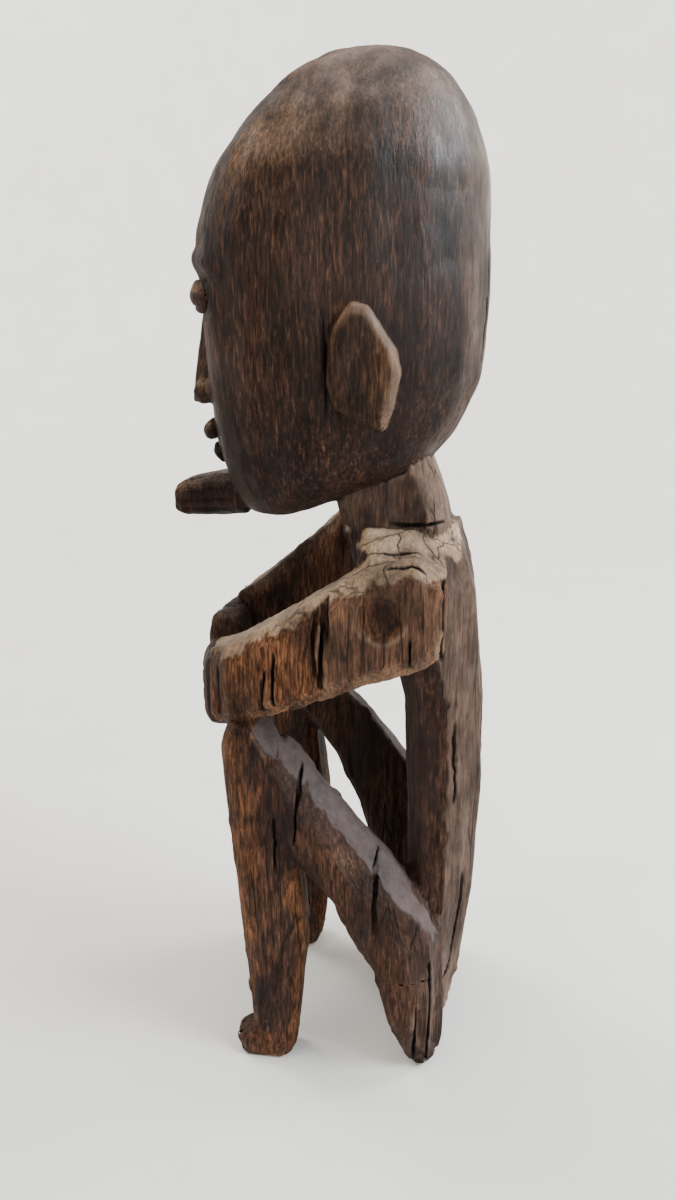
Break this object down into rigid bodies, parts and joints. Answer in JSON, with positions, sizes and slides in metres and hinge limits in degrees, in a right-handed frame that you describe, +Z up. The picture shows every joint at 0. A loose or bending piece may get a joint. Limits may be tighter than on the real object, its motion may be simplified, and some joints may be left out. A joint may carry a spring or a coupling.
{
  "type": "carved wooden ancestor figure",
  "caption": "Seated figure carved from one block of wood, with a tall egg-shaped head, arms laid over drawn-up knees and hands joined in front of the shins.",
  "frame": {"origin": "centre of the bounding box at floor level", "axes": "+Z up; the figure faces -Y; its left side is +X"},
  "size_m": [0.158, 0.215, 0.664],
  "materials": {
    "head_wood": "rubbed satin, dark reddish brown with ochre and near-black streaks",
    "body_wood": "dry, adze-cut, brown with dusty grey-tan tops and open vertical grain"
  },
  "bodies": {
    "root": {"torso": "body_wood", "neck": "head_wood", "head": "head_wood", "nose": "head_wood", "left_eyelid": "head_wood", "right_eyelid": "head_wood", "upper_lip": "head_wood", "lower_lip": "head_wood", "beard": "head_wood", "left_ear": "head_wood", "right_ear": "head_wood", "left_upper_arm": "body_wood", "right_upper_arm": "body_wood", "left_forearm": "body_wood", "right_forearm": "body_wood", "left_hand": "body_wood", "right_hand": "body_wood", "left_thigh": "body_wood", "right_thigh": "body_wood", "left_shin": "body_wood", "right_shin": "body_wood", "left_foot": "body_wood", "right_foot": "body_wood", "left_buttock": "body_wood", "right_buttock": "body_wood"}
  },
  "joints": []
}
